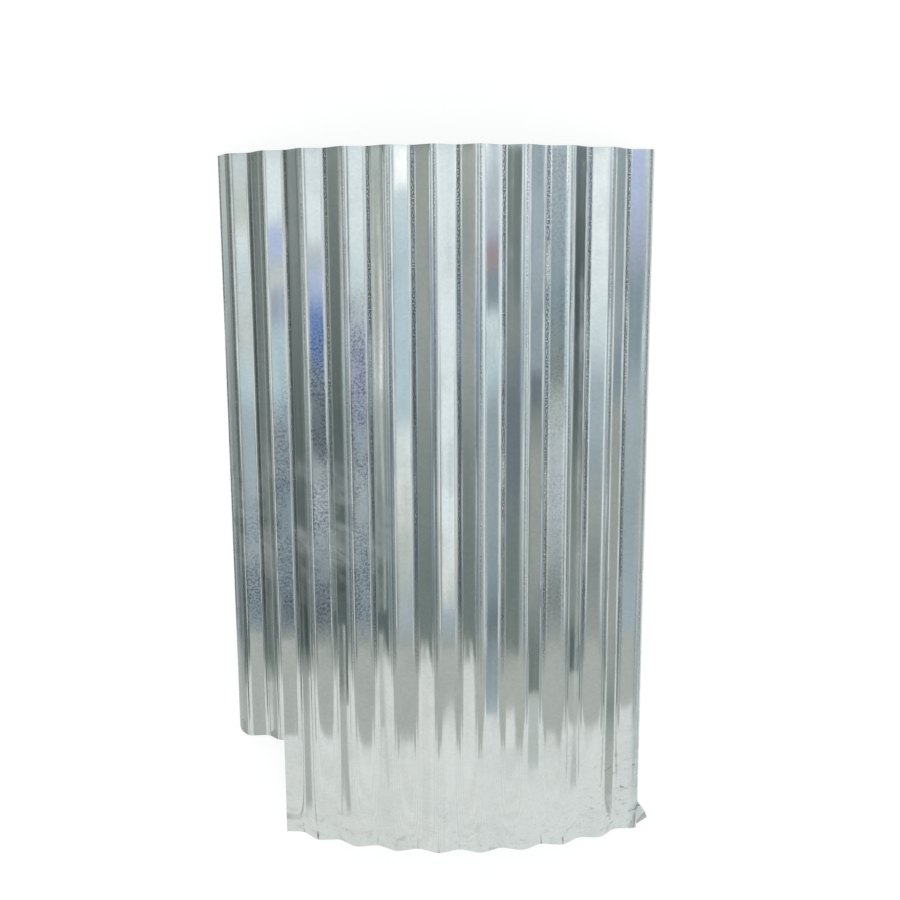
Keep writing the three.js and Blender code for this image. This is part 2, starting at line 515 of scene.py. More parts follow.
# Kinds of patch: blotches in a metre across and along, octaves, roughness, and where the noise
# starts to count and counts in full.
PATCHES = {
    "blotches": (230.0, 205.0, 6.0, 0.85, 0.45, 0.58),
    "hand wide": (22.0, 9.0, 3.0, 0.6, 0.34, 0.52),
    "specks": (640.0, 420.0, 2.0, 0.5, 0.40, 0.52),
    "uneven": (24.0, 6.0, 2.0, 0.5, 0.24, 0.50),
    "patchy": (40.0, 9.0, 2.0, 0.5, 0.30, 0.45),
    "highlight_band": (90.0, 12.0, 3.0, 0.6, 0.28, 0.60),
    "cloud": (16.0, 9.0, 6.0, 0.62, 0.42, 0.68),
    "haze": (7.0, 13.0, 6.0, 0.66, 0.40, 0.63),
    "strokes": (26.0, 90.0, 4.0, 0.6, 0.36, 0.66),
    "brushed": (14.0, 130.0, 6.0, 0.7, 0.42, 0.68),
    "rusty": (30.0, 40.0, 4.0, 0.5, 0.2, 0.6),
    "streaky": (420.0, 60.0, 2.0, 0.5, 0.40, 0.60),
    "some bends": (9.0, 1.0, 2.0, 0.5, 0.44, 0.60),
    "smudges": (60.0, 90.0, 5.0, 0.65, 0.54, 0.78),
    "handled": (36.0, 60.0, 5.0, 0.65, 0.50, 0.78),
    "dots": (500.0, 420.0, 1.0, 0.5, 0.70, 0.76),
}


def patches(place, kind):
    """A mask of one kind of patch."""
    *recipe, starts, full = PATCHES[kind]
    return ramp(noise(place, *recipe), starts, full)


def mixed(share, first, second):
    """Mixes two colours, each a socket or an RGBA value."""
    made = node(share.id_data, "ShaderNodeMix", data_type="RGBA")
    fill([made.inputs[slot] for slot in (0, 6, 7)], (share, first, second))
    return made.outputs[2]


print("helpers are ready, with", len(PATCHES), "kinds of patch")

# %% [markdown]
# ### Spangle
#
# Hot-dip zinc freezes into crystals. On thin roofing they are a few millimetres wide and
# feathery. A Voronoi texture gives each crystal its own tone, noise pushed into its coordinates
# feathers the borders, and a finer noise is the grain that breaks up reflections.

# %% The spangle group
FEATHER_FINENESS = 420.0
FEATHER = 0.004
GRAIN_FINENESS = 380.0
GRAIN_STEP = 0.15


def spangle_group():
    """A tone for each crystal, and the grain that breaks up reflections."""
    start, end = new_group("zinc spangle", ["Tone", "Grain"], Crystals_per_metre=230.0)
    place, tree = start["Place"], end.id_data
    wobble = node(tree, "ShaderNodeTexNoise", Vector=place, Scale=FEATHER_FINENESS, Detail=2.0)
    shift = node(tree, "ShaderNodeVectorMath", wobble.outputs["Color"], operation="SCALE", Scale=FEATHER)
    feathered = node(tree, "ShaderNodeVectorMath", place, shift.outputs[0], operation="ADD")
    scale = start["Crystals per metre"]
    crystals = node(tree, "ShaderNodeTexVoronoi", feathered.outputs[0], feature="F1", Scale=scale)
    tone = node(tree, "ShaderNodeSeparateColor", crystals.outputs["Color"]).outputs
    grain = maths("MULTIPLY_ADD", tone[1], GRAIN_STEP, noise(place, GRAIN_FINENESS, GRAIN_FINENESS))
    return hand_out(end, Tone=tone[0], Grain=grain)


SPANGLE = spangle_group()
print(len(SPANGLE.nodes), "nodes in", SPANGLE.name)

# %% [markdown]
# ### Storage mottle
#
# Where sheets lay wet in a stack, the zinc took a dark mottle. Nested sheets touch along one side
# of each wave, so it sits on the right flanks. It has blotches of every size from a centimetre
# down, which is a noise with many rough octaves, in patches as wide as a hand, which is a slow
# one. Here it crosses the sheet on a slant: it stays low at the left edge and climbs over the
# next waves. The right half has only a trace of it, on one left flank.

# %% The mottle group
MOTTLE_LOW = (0.36, 0.45)
MOTTLE_SLANT = 2.6
MOTTLE_TOP = (0.55, 0.36)
MOTTLE_HIGH = (1.06, 0.88)
MOTTLE_RIGHT = (0.345, 0.315)
MOTTLE_FLANK = (0.0165, 0.0140)
TRACE_LEFT = (0.57, 0.60)
TRACE_RIGHT = (0.69, 0.65)
MOTTLE_TRACE = 0.34


def mottle_group():
    """Dark blotches in patches: a slanting band of right flanks, and a trace on one left flank."""
    start, end = new_group("storage mottle", ["Mottle"])
    place = start["Place"]
    x, y = across_along(place)
    blotches = patches(place, "blotches")
    broad = patches(place, "hand wide")
    rises = ramp(y, *MOTTLE_LOW)
    slanted = maths("MULTIPLY_ADD", x, -MOTTLE_SLANT, y)
    falls = product(ramp(slanted, *MOTTLE_TOP), ramp(y, *MOTTLE_HIGH))
    right_flank = ramp(distance_to(x, 0.75 * PITCH, PITCH), *MOTTLE_FLANK)
    left_flank = ramp(distance_to(x, 0.25 * PITCH, PITCH), *MOTTLE_FLANK)
    main = product(rises, falls, ramp(x, *MOTTLE_RIGHT), right_flank)
    trace = product(rises, ramp(x, *TRACE_LEFT), ramp(x, *TRACE_RIGHT), left_flank)
    zone = maths("MULTIPLY_ADD", trace, MOTTLE_TRACE, main, clamp=True)
    return hand_out(end, Mottle=product(blotches, broad, zone))


MOTTLE = mottle_group()
print(len(MOTTLE.nodes), "nodes in", MOTTLE.name)

# %% [markdown]
# ### Rolled bends
#
# The rolls press hardest in the valleys. The zinc cracks there into fine dark specks, in a line
# four or five millimetres wide, and on the crests the line is much thinner. The whole bend is a
# little less glossy than the flanks. On the bends at both sides of each right flank a highlight
# is painted in: a thin pale line, and round it a pale band, so the mark widens towards the far
# end. It stands in for the bright lines those bends would mirror. All of this is found from the
# distance to the nearest bend or flank, so it follows the section by itself.

# %% The bend group
BENDS_FROM = (0.30, 0.44)
VALLEY_SHIFT = 0.0016
VALLEY_SPAN = (1.45, 0.65)
CREST_SPAN = (0.75, 0.25)
CREST_SHARE = 0.60
# Where the painted highlight line and band lie from a right flank's middle, and where along the sheet they
# fade in.
HIGHLIGHT_OFF = 0.0136
HIGHLIGHT_HALF = 0.0009
HIGHLIGHT_FROM = (0.345, 0.42)
HIGHLIGHT_BAND = (0.0104, 0.0116, 0.0146, 0.0160)
HIGHLIGHT_BAND_SHARE = 0.6
HIGHLIGHT_BAND_FADE = (0.62, 0.95)


def bend_group():
    """Dark specks and dull metal along the bends, and painted highlight lines beside the right flanks."""
    start, end = new_group("rolled bends", ["Rub", "Bend", "Scuff"], Half_width=0.0030)
    place, half_width = start["Place"], start["Half width"]
    x, y = across_along(place)
    above = ramp(y, *BENDS_FROM)
    valley = ramp(maths("DIVIDE", distance_to(x, VALLEY_SHIFT, PITCH), half_width), *VALLEY_SPAN)
    crest = ramp(maths("DIVIDE", distance_to(x, HALF_PITCH, PITCH), half_width), *CREST_SPAN)
    line = maths("MAXIMUM", valley, maths("MULTIPLY", crest, CREST_SHARE))
    specks = patches(place, "specks")
    uneven = patches(place, "uneven")
    bend = ramp(distance_to(x, 0.0, HALF_PITCH), BEND_REACH, 0.6 * BEND_REACH)

    # Painted highlight at both sides of each right flank: a thin pale line and a broader pale band.
    from_flank = distance_to(x, 0.75 * PITCH, PITCH)
    off_line = maths("ABSOLUTE", maths("SUBTRACT", from_flank, HIGHLIGHT_OFF))
    patchy = patches(place, "patchy")
    painted_highlight = product(ramp(off_line, HIGHLIGHT_HALF, 0.3 * HIGHLIGHT_HALF), patchy, ramp(y, *HIGHLIGHT_FROM))
    inner, full, falls, outer = HIGHLIGHT_BAND
    highlight_band = product(ramp(from_flank, inner, full), ramp(from_flank, outer, falls))
    highlight_band = product(highlight_band, patches(place, "highlight_band"), ramp(y, *HIGHLIGHT_BAND_FADE))
    return hand_out(
        end,
        Rub=product(line, specks, uneven, above),
        Bend=product(bend, above),
        Scuff=maths("MULTIPLY_ADD", highlight_band, HIGHLIGHT_BAND_SHARE, painted_highlight, clamp=True),
    )


BENDS = bend_group()
print(len(BENDS.nodes), "nodes in", BENDS.name)

# %% [markdown]
# ### Clouds, wipes and dirt
#
# Storage stain is soft and cloudy. A wipe is a pale haze with fine strokes in it, where a wet rag
# crossed the waves, and a little white rust pales both long edges. Dirt gathers at the cut end: a
# tick under each bend where the shear pinched the metal, smudges at the right hand corner, and a
# few dots. Each is a mask for the material to use.

# %% The stain group
WIPE_SLANT = 0.3
WIPE_MIDDLE = 0.60
WIPE_REACH = (0.18, 0.04)
WIPE_RIGHT = (0.46, 0.24)
WIPE_STROKES = (0.35, 0.25)
BRUSHED_LEFT = (0.20, 0.05)
BRUSHED_FROM = (0.34, 0.44)
BRUSHED_SHARE = 0.11
RUST_SHARE = 0.8
EDGE_REACH = (0.024, 0.006)
TICK_REACH = (0.024, 0.006)
TICK_SIDE = (0.07, 0.02)
SMUDGE_RIGHT = (0.66, 0.76)
SMUDGE_LOW = (0.24, 0.10)
HANDLED_LOW = (0.10, 0.02)
HANDLED_SHARE = 0.35
DOTS_LOW = (0.22, 0.02)


def stain_group():
    """Soft clouds, the pale wipe with white rust, and dirt."""
    start, end = new_group("clouds and wipes", ["Cloud", "Wipe", "Dirt"])
    place = start["Place"]
    x, y = across_along(place)
    turned = node(end.id_data, "ShaderNodeVectorRotate", place, rotation_type="Z_AXIS", Angle=WIPE_SLANT)
    turned = turned.outputs[0]
    strokes = maths("MULTIPLY_ADD", patches(turned, "strokes"), *WIPE_STROKES)
    band = ramp(maths("ABSOLUTE", maths("SUBTRACT", y, WIPE_MIDDLE)), *WIPE_REACH)
    wiped = product(patches(turned, "haze"), strokes, band, ramp(x, *WIPE_RIGHT))
    brushed = product(patches(place, "brushed"), ramp(x, *BRUSHED_LEFT), ramp(y, *BRUSHED_FROM))
    wiped = maths("MULTIPLY_ADD", brushed, BRUSHED_SHARE, wiped)
    from_edge = maths("MINIMUM", x, maths("SUBTRACT", WIDTH, x))
    rusty = product(ramp(from_edge, *EDGE_REACH), patches(place, "rusty"))

    bends = maths("DIVIDE", x, HALF_PITCH)
    off_bend = maths("ABSOLUTE", maths("SUBTRACT", bends, maths("ROUND", bends)))
    pinched = product(ramp(off_bend, *TICK_SIDE), ramp(y, *TICK_REACH))
    ticks = product(pinched, patches(place, "streaky"), patches(place, "some bends"))
    smudges = product(patches(place, "smudges"), ramp(x, *SMUDGE_RIGHT), ramp(y, *SMUDGE_LOW))
    handled = product(patches(place, "handled"), ramp(y, *HANDLED_LOW))
    smudges = maths("MULTIPLY_ADD", handled, HANDLED_SHARE, smudges, clamp=True)
    dots = product(patches(place, "dots"), ramp(y, *DOTS_LOW))
    return hand_out(
        end,
        Cloud=patches(place, "cloud"),
        Wipe=maths("MULTIPLY_ADD", rusty, RUST_SHARE, wiped, clamp=True),
        Dirt=maths("MAXIMUM", maths("MAXIMUM", ticks, smudges), dots),
    )


STAINS = stain_group()
print(len(STAINS.nodes), "nodes in", STAINS.name)

# %% [markdown]
# ### The torn corner
#
# Metal that tears is scraped and creased as it goes. The lip left along the tear is scuffed
# bright, with a painted highlight along it. Beside it the crease gets painted shade, and the
# hanging ear gets painted light above its fold and painted shade below. The ear's rows follow on
# from the sheet's in the unrolled map, so one group marks it all.

# %% The torn corner group
LIP_WIDTH = 0.0044
LIP_SOFT = 0.0004
CREASE_SHADE_REACH = 0.0085
CREASE_SHADE_FADE = (0.036, 0.020)
SIDE_SOFT = 0.0002
EAR_SOFT = 0.004
EAR_FOLD = -0.0205
FOLD_SOFT = 0.002


def torn_group():
    """The scuffed lip with a painted highlight, painted shade in the crease, and the ear's painted light
    and shade.
    """
    start, end = new_group("torn corner", ["Lip", "Crease", "Ear", "Fold"])
    x, y = across_along(start["Place"])
    inside = maths("SUBTRACT", WIDTH - TEAR_INSET, x)
    on_sheet_side = ramp(inside, -SIDE_SOFT, SIDE_SOFT)
    # The lip along the tear: scuffed metal with a painted highlight, narrowing away from the cut end.
    lip_width = maths("MULTIPLY_ADD", y, -LIP_WIDTH / TEAR_LENGTH, LIP_WIDTH)
    lip = ramp(maths("SUBTRACT", lip_width, inside), -LIP_SOFT, LIP_SOFT)
    # Painted shade in the crease beside the lip, fading away from the cut end.
    crease = product(ramp(inside, CREASE_SHADE_REACH, 0.6 * LIP_WIDTH), ramp(y, *CREASE_SHADE_FADE))
    rise = maths("MULTIPLY", inside, (CREASE_TOP - TEAR_LENGTH) / TEAR_INSET)
    below = maths("SUBTRACT", maths("ADD", y, rise), TEAR_LENGTH)
    # The ear gets painted light on its face above the fold and painted shade below it.
    hanging = product(ramp(inside, SIDE_SOFT, -SIDE_SOFT), ramp(below, 0.0, -EAR_SOFT))
    lower = ramp(below, EAR_FOLD + FOLD_SOFT, EAR_FOLD - FOLD_SOFT)
    return hand_out(
        end,
        Lip=product(lip, on_sheet_side),
        Crease=product(crease, on_sheet_side),
        Ear=product(hanging, maths("SUBTRACT", 1.0, lower)),
        Fold=product(hanging, lower),
    )


TORN = torn_group()
print("groups:", [g.name for g in bpy.data.node_groups])

# %% [markdown]
# ### The three zinc surfaces
#
# The top is bright, the underside is duller from lying on others, and the sheared edge shows
# bare steel. A slight bump from the grain is what breaks the reflections into specks. Stains
# darken the metal's colour and roughen it a little. A wipe leaves a powdery film, so it also
# makes the surface less metallic. The painted highlights are made less metallic in the same
# way, so both stay pale where the metal mirrors something dark. The painted shade in the crease
# and under the ear's fold is mixed in like a stain.

# %% Zinc materials
ZINC = (0.87, 0.885, 0.88, 1.0)
ZINC_DULL = (0.62, 0.65, 0.655, 1.0)
ZINC_OLD = (0.46, 0.49, 0.50, 1.0)
MOTTLED = (0.21, 0.21, 0.29, 1.0)
# Dark of the rolled specks, and of the painted shade in the crease and on the ear below its fold.
DARK_SPECKS_AND_SHADE = (0.07, 0.08, 0.09, 1.0)
WIPED = (0.48, 0.56, 0.56, 1.0)
# The pale of the painted highlights: the lines beside the right flanks, the torn lip and the ear's upper
# face.
PAINTED_HIGHLIGHT = (0.86, 0.89, 0.89, 1.0)
DIRT = (0.16, 0.15, 0.13, 1.0)
STEEL = (0.42, 0.42, 0.41, 1.0)
STEEL_DARK = (0.30, 0.29, 0.28, 1.0)
# How much of each effect is seen, and how much rougher the metal is where it is at its fullest.
SEEN = {"Tone": 0.18, "Cloud": 0.22, "Mottle": 0.85, "Rub": 0.9, "Scuff": 0.9, "Ear": 0.5, "Wipe": 0.8,
        "Crease": 0.5, "Fold": 0.32}
ROUGHER = {"Cloud": 0.06, "Bend": 0.07, "Wipe": 0.25, "Rub": 0.20, "Dirt": 0.4}
POWDERY_WIPE = 0.8
POWDER_LOSS = -0.8


def new_material(name):
    """A material and its node tree, still empty."""
    material = bpy.data.materials.new(name)
    material.use_nodes = True
    material.node_tree.nodes.clear()
    return material, material.node_tree


def zinc_material(name, bright, dull, roughness, haze, grain_height):
    """One surface of the sheet, between a bright and a dull tone."""
    material, tree = new_material(name)
    place = node(tree, "ShaderNodeUVMap", uv_map="unrolled").outputs["UV"]
    mask = {}
    for group in (SPANGLE, MOTTLE, BENDS, STAINS, TORN):
        used = node(tree, "ShaderNodeGroup", node_tree=group, Place=place)
        mask.update({output.name: output for output in used.outputs})
    tone = maths("MULTIPLY", mask["Tone"], SEEN["Tone"])
    cloudy = maths("MULTIPLY_ADD", mask["Cloud"], SEEN["Cloud"] * haze, tone, clamp=True)
    mottle = maths("MULTIPLY", mask["Mottle"], SEEN["Mottle"])
    rub = maths("MULTIPLY", mask["Rub"], SEEN["Rub"])
    # Painted highlights: the pale lines beside the right flanks, the torn lip, which is also scuffed, and
    # the ear's lit upper face.
    painted_highlight = maths("MAXIMUM", mask["Scuff"], mask["Lip"])
    painted_highlight = maths("MULTIPLY_ADD", mask["Ear"], SEEN["Ear"], painted_highlight, clamp=True)
    painted_highlight = maths("MULTIPLY", painted_highlight, SEEN["Scuff"])
    wipe = maths("MULTIPLY", mask["Wipe"], SEEN["Wipe"])
    # Painted shade: the ear's lower face below its fold, and the crease beside the tear.
    shaded_ear = maths("MULTIPLY", mask["Fold"], SEEN["Fold"])
    crease_and_ear_shade = maths("MULTIPLY_ADD", mask["Crease"], SEEN["Crease"], shaded_ear)
    colour = mixed(cloudy, bright, dull)
    for share, stain in (
        (mottle, MOTTLED),
        (wipe, WIPED),
        (crease_and_ear_shade, DARK_SPECKS_AND_SHADE),
        (rub, DARK_SPECKS_AND_SHADE),
        (painted_highlight, PAINTED_HIGHLIGHT),
        (mask["Dirt"], DIRT),
    ):
        colour = mixed(share, colour, stain)
    rough = maths("MULTIPLY_ADD", mask["Cloud"], ROUGHER["Cloud"] * haze, roughness)
    rough = maths("MULTIPLY_ADD", mask["Bend"], ROUGHER["Bend"], rough)
    rough = maths("MULTIPLY_ADD", wipe, ROUGHER["Wipe"], rough)
    rough = maths("MULTIPLY_ADD", rub, ROUGHER["Rub"], rough)
    rough = maths("MULTIPLY_ADD", mask["Dirt"], ROUGHER["Dirt"], rough)
    powdery = maths("MULTIPLY_ADD", wipe, POWDERY_WIPE, painted_highlight, clamp=True)
    metal = maths("MULTIPLY_ADD", powdery, POWDER_LOSS, 1.0)
    bump = node(tree, "ShaderNodeBump", Height=mask["Grain"], Distance=grain_height).outputs[0]
    shader = node(
        tree, "ShaderNodeBsdfPrincipled", Base_Color=colour, Roughness=rough, Metallic=metal, Normal=bump
    )
    node(tree, "ShaderNodeOutputMaterial", shader.outputs[0])
    return material


# Each surface: its two tones, its roughness, the strength of its clouds and its grain's height.
SURFACES = [
    ("bright zinc", ZINC, ZINC_DULL, 0.085, 1.0, 0.000012),
    ("dull zinc", ZINC_DULL, ZINC_OLD, 0.28, 1.6, 0.00003),
    ("sheared edge", STEEL, STEEL_DARK, 0.35, 1.0, 0.00002),
]
for surface in SURFACES:
    sheet.data.materials.append(zinc_material(*surface))
print("materials:", [m.name for m in sheet.data.materials])

# %% [markdown]
# The bends are shaded smooth and the sheared edges stay sharp. That is marked on real faces, so
# the modifier's result is made into the mesh first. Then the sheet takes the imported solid's place.

# %% Freeze the thickness and keep the cut edges sharp
SHARP_FROM = math.radians(40)

bpy.context.view_layer.update()
frozen = bpy.data.meshes.new_from_object(sheet.evaluated_get(bpy.context.evaluated_depsgraph_get()))
sheet.modifiers.clear()
sheet.data = frozen
sheet.data.shade_smooth()
sheet.data.set_sharp_from_angle(angle=SHARP_FROM)
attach(sheet, "root")
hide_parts("corrugated_sheet")
print(sum(len(p.vertices) - 2 for p in sheet.data.polygons), "triangles in the sheet")

# %% [markdown]
# ## The studio
#
# A white floor, and soft light from all round. For the camera and for mirrors the floor adds a
# little light of its own to the shade it catches, so it reads as white and keeps the shadow.

# %% Floor and world
FLOOR_REACH = 12.0
FLOOR_PLAIN = (0.85, 0.85, 0.85, 1.0)
FLOOR_CATCH = (0.30, 0.30, 0.30, 1.0)
FLOOR_GLOW = 0.76
WHITE = (1.0, 1.0, 1.0, 1.0)
SKY = (0.87, 0.88, 0.89, 1.0)


def floor_material():
    """White with a soft shadow where the camera or a mirror looks, and plain for other light."""
    material, tree = new_material("white floor")
    lit = node(tree, "ShaderNodeBsdfDiffuse", Color=FLOOR_CATCH)
    glow = node(tree, "ShaderNodeEmission", Color=WHITE, Strength=FLOOR_GLOW)
    seen = node(tree, "ShaderNodeAddShader", lit.outputs[0], glow.outputs[0])
    plain = node(tree, "ShaderNodeBsdfDiffuse", Color=FLOOR_PLAIN)
    path = node(tree, "ShaderNodeLightPath").outputs
    looked_at = maths("ADD", path["Is Camera Ray"], path["Is Glossy Ray"])
    looked_at = maths("ADD", looked_at, path["Is Transmission Ray"], clamp=True)
    both = node(tree, "ShaderNodeMixShader", looked_at, plain.outputs[0], seen.outputs[0])
    node(tree, "ShaderNodeOutputMaterial", both.outputs[0])
    return material


def lay_floor():
    """One wide square under the sheet."""
    mesh = bpy.data.meshes.new("floor")
    corners = [(x * FLOOR_REACH, y * FLOOR_REACH, 0) for x, y in ((-1, -1), (1, -1), (1, 1), (-1, 1))]
    mesh.from_pydata(corners, [], [(0, 1, 2, 3)])
    mesh.materials.append(floor_material())
    in_scene("floor", mesh)


lay_floor()
world = bpy.data.worlds.new("studio")
bpy.context.scene.world = world
world.use_nodes = True
sky = world.node_tree
sky.nodes.clear()
soft = node(sky, "ShaderNodeBackground", Color=SKY, Strength=1.0)
white = node(sky, "ShaderNodeBackground", Color=WHITE, Strength=1.0)
to_camera = node(sky, "ShaderNodeLightPath").outputs["Is Camera Ray"]
seen = node(sky, "ShaderNodeMixShader", to_camera, soft.outputs[0], white.outputs[0])
node(sky, "ShaderNodeOutputWorld", seen.outputs[0])
bpy.context.scene.view_settings.view_transform = "Standard"
print("floor and soft light are up")

# %% [markdown]
# ## Cards for the metal to mirror
#
# Bright metal has no look of its own: it shows what stands round it. A photographer hangs white,
# grey and black cards where each face of the metal mirrors them to the camera. The same is done
# here. An arch of cards stands over the sheet, seen only in reflections. For each flank the
# script finds where the camera looks by way of that flank, and hangs a narrow card there.

# %% Where a flank sends the camera's look
ARCH_SIDE = 0.70
ARCH_TOP = 0.56
ARCH_HEIGHT = 0.10
SQUEEZE = ARCH_TOP / ARCH_SIDE
CARD_FLOOR = 0.003
END_GAP = 0.004
END_CARD = -LENGTH / 2 - END_GAP


def turned_look(distance, along):
    """A point of the sheet and the camera's look turned back by it."""
    x, z, lean = on_sheet(np.array([distance]), THICKNESS / 2)
    point = Vector((x[0], along - LENGTH / 2, z[0]))
    normal = Vector((math.sin(lean[0]), 0, math.cos(lean[0])))
    look = (point - CAMERA_PLACE).normalized()
    return point, look - 2 * look.dot(normal) * normal


def mirrored(distance, along):
    """Where the camera's look, turned back by the sheet, meets the arch or the floor."""
    point, turned = turned_look(distance, along)
    from_axis = Vector((point.x * SQUEEZE, point.z - ARCH_HEIGHT))
    course = Vector((turned.x * SQUEEZE, turned.z))
    b = from_axis.dot(course)
    a = course.dot(course)
    c = from_axis.dot(from_axis) - ARCH_TOP**2
    reach = (-b + math.sqrt(b * b - a * c)) / a
    if point.z + turned.z * reach < CARD_FLOOR:
        reach = (CARD_FLOOR - point.z) / turned.z
    return point + turned * reach


for name, at in (("first flank", PITCH / 4), ("middle flank", WIDTH / 2)):
    print(name, "looks at", [round(v, 3) for v in mirrored(at, LENGTH / 2)])

# %% [markdown]
# The tones are few and named, as paint pots would be. They are a little lighter than they will
# look, because zinc gives back only about nine tenths of the light.

# %% The paints
PAINTS = {
    "glare": (1.20, 1.23, 1.22),
    "white": (0.82, 0.90, 0.92),
    "cream": (0.75, 0.78, 0.75),
    "pale": (0.65, 0.76, 0.79),
    "teal": (0.50, 0.65, 0.70),
    "silver": (0.51, 0.57, 0.54),
    "mist": (0.40, 0.48, 0.52),
    "warm": (0.45, 0.48, 0.45),
    "dusk": (0.36, 0.39, 0.37),
    "steel": (0.33, 0.40, 0.43),
    "slate": (0.255, 0.325, 0.365),
    "olive": (0.25, 0.29, 0.28),
    "iron": (0.16, 0.20, 0.22),
    "shade": (0.18, 0.22, 0.21),
    "dark": (0.11, 0.14, 0.14),
    "ink": (0.06, 0.08, 0.08),
    "blue": (0.18, 0.28, 0.54),
    "lilac": (0.50, 0.58, 0.82),
    "dusk blue": (0.38, 0.43, 0.54),
    "brick": (0.39, 0.31, 0.33),
    "snow": (0.94, 1.00, 1.01),
    "haze": (0.52, 0.58, 0.61),
    "pearl": (0.63, 0.67, 0.64),
    "milk": (0.77, 0.81, 0.79),
    "linen": (0.715, 0.74, 0.715),
}


def painted(*zones):
    """Zones in order, each a paint and where it starts and ends or is fullest: places and tones."""
    stops = [(place, PAINTS[paint]) for paint, *places in zones for place in places]
    return [place for place, _ in stops], np.array([tone for _, tone in stops])


def tone_at(stops, value):
    """The tone at a value. Between zones one paint fades into the next."""
    places, tones = stops
    return np.array([np.interp(value, places, tones[:, k]) for k in range(3)])


print(len(PAINTS), "paints")

# %% [markdown]
# Each card is a strip as long as the sheet's reflection, and changes along its length. Its zones
# are placed in shares of the sheet's length from the far end. L and R are the left and right
# flank of a crest, counted from the left. Left flanks look low across the room, which is dark
# there. Right flanks look up at the light side, and show more of what stands in it.

# %% The zones of each card
CARDS = {
    "L1": painted(
        ("silver", 0, 0.1), ("mist", 0.14), ("dusk", 0.22), ("olive", 0.36), ("shade", 0.46),
        ("dark", 0.57), ("iron", 0.62, 0.7), ("dusk", 0.74), ("warm", 0.84),
    ),
    "R1": painted(
        ("pale", 0), ("pearl", 0.06, 0.09), ("white", 0.12), ("pale", 0.15), ("pearl", 0.24),
        ("teal", 0.33), ("mist", 0.37, 0.5), ("steel", 0.6), ("slate", 0.67), ("warm", 0.72),
    ),
    "L2": painted(
        ("shade", 0, 0.56), ("dark", 0.61), ("shade", 0.66, 0.74), ("warm", 0.77, 0.84),
    ),
    "R2": painted(
        ("white", 0, 0.09), ("lilac", 0.105, 0.135), ("haze", 0.15), ("pearl", 0.175),
        ("dusk blue", 0.195, 0.225), ("teal", 0.25, 0.33), ("steel", 0.38), ("slate", 0.46, 0.58),
        ("iron", 0.66), ("dusk", 0.7),
    ),
    "L3": painted(
        ("olive", 0, 0.1), ("shade", 0.22), ("dark", 0.36, 0.54), ("ink", 0.6, 0.7), ("dusk", 0.745),
    ),
    "R3": painted(
        ("white", 0, 0.11), ("haze", 0.14), ("lilac", 0.185), ("blue", 0.225, 0.27), ("slate", 0.31),
        ("iron", 0.36, 0.41), ("haze", 0.455, 0.49), ("slate", 0.56), ("iron", 0.65), ("dusk", 0.7),
    ),
    "L4": painted(
        ("olive", 0), ("shade", 0.12), ("dark", 0.36, 0.52), ("ink", 0.6), ("dark", 0.66, 0.745),
        ("dusk", 0.78),
    ),
    "R4": painted(
        ("white", 0, 0.09), ("pale", 0.18), ("haze", 0.21), ("dusk blue", 0.27, 0.32), ("steel", 0.42),
        ("mist", 0.47), ("steel", 0.54), ("slate", 0.64), ("dusk", 0.69),
    ),
    "L5": painted(
        ("dusk", 0, 0.31), ("olive", 0.42), ("shade", 0.49), ("dark", 0.58, 0.66),
    ),
    "R5": painted(
        ("glare", 0, 0.045), ("pale", 0.06), ("teal", 0.16, 0.36), ("white", 0.385), ("cream", 0.48),
        ("silver", 0.58), ("mist", 0.65), ("dusk", 0.69),
    ),
    "L6": painted(
        ("dusk", 0, 0.22), ("olive", 0.4), ("shade", 0.54, 0.675),
    ),
    "R6": painted(
        ("white", 0, 0.5), ("cream", 0.61), ("mist", 0.64), ("dusk", 0.69),
    ),
    "L7": painted(
        ("warm", 0), ("dusk", 0.1, 0.28), ("olive", 0.4), ("shade", 0.56, 0.675),
    ),
    "R7": painted(
        ("white", 0), ("pale", 0.03), ("haze", 0.055, 0.1), ("dusk blue", 0.12), ("brick", 0.135, 0.155),
        ("slate", 0.17, 0.205), ("pale", 0.225, 0.26), ("teal", 0.3), ("steel", 0.35, 0.5), ("slate", 0.6),
        ("iron", 0.65), ("slate", 0.7), ("steel", 0.76), ("mist", 0.79),
    ),
    "L8": painted(
        ("shade", 0, 0.18), ("olive", 0.24), ("iron", 0.33, 0.44), ("shade", 0.5, 0.7),
    ),
    "R8": painted(
        ("mist", 0, 0.14), ("steel", 0.22, 0.29), ("iron", 0.31, 0.345), ("olive", 0.36),
        ("dusk", 0.42, 0.56), ("olive", 0.64), ("shade", 0.69, 0.76),
    ),
    "L9": painted(
        ("mist", 0, 0.08), ("slate", 0.2), ("olive", 0.3), ("silver", 0.35), ("haze", 0.42, 0.5),
        ("olive", 0.62), ("dusk", 0.69),
    ),
    "R9": painted(
        ("iron", 0), ("dark", 0.1), ("ink", 0.2), ("dark", 0.3, 0.36), ("shade", 0.44),
        ("olive", 0.56, 0.64), ("dark", 0.68, 0.735),
    ),
    "L10": painted(
        ("snow", 0, 0.1), ("white", 0.18), ("pale", 0.26), ("mist", 0.32, 0.38), ("steel", 0.43),
        ("dusk", 0.5), ("olive", 0.58), ("dusk", 0.69),
    ),
    "R10": painted(
        ("steel", 0, 0.24), ("slate", 0.29, 0.32), ("dusk", 0.37, 0.72), ("olive", 0.8),
        ("warm", 0.86, 0.97),
    ),
    "L11": painted(
        ("lilac", 0, 0.06), ("dusk blue", 0.14), ("slate", 0.19, 0.27), ("steel", 0.31), ("mist", 0.36),
        ("steel", 0.5), ("mist", 0.69),
    ),
}
print(len(CARDS), "cards planned")

# %% [markdown]
# Paint glows by itself, so the cards need no lamps and throw no light on anything. They are
# hidden from the camera, from diffuse light and from shadows: only a mirror can see them. A
# slow ripple moves each zone's border a little, as a brushed edge would be.

